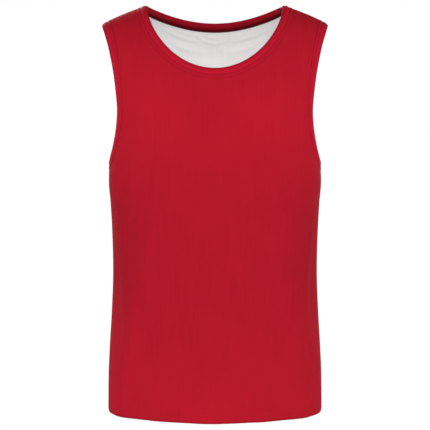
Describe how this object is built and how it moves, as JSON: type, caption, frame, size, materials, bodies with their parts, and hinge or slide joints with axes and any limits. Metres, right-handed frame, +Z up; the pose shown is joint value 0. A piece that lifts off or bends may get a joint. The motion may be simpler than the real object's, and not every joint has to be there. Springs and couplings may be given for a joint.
{
  "type": "reversible training bib",
  "caption": "Sleeveless two-layer training bib, red mesh outside and white mesh inside, scooped neck and armholes with folded red binding, filled out as worn.",
  "frame": {"origin": "midway between the two shoulders, at the level where the wearer's shoulders carry the bib", "axes": "+Z up along the body, -Y is the front of the bib, +X is to the right of somebody who looks at the front"},
  "size_m": [0.3832, 0.2498, 0.692],
  "materials": {
    "red_mesh": "matt fine mesh knit, polyester",
    "white_mesh": "matt fine mesh knit, polyester",
    "red_binding": "matt folded strip of the same knit"
  },
  "bodies": {
    "root": {"outer_front": "red_mesh", "outer_back": "red_mesh", "inner_front": "white_mesh", "inner_back": "white_mesh", "neck_binding": "red_binding", "armhole_binding_left": "red_binding", "armhole_binding_right": "red_binding"}
  },
  "joints": []
}
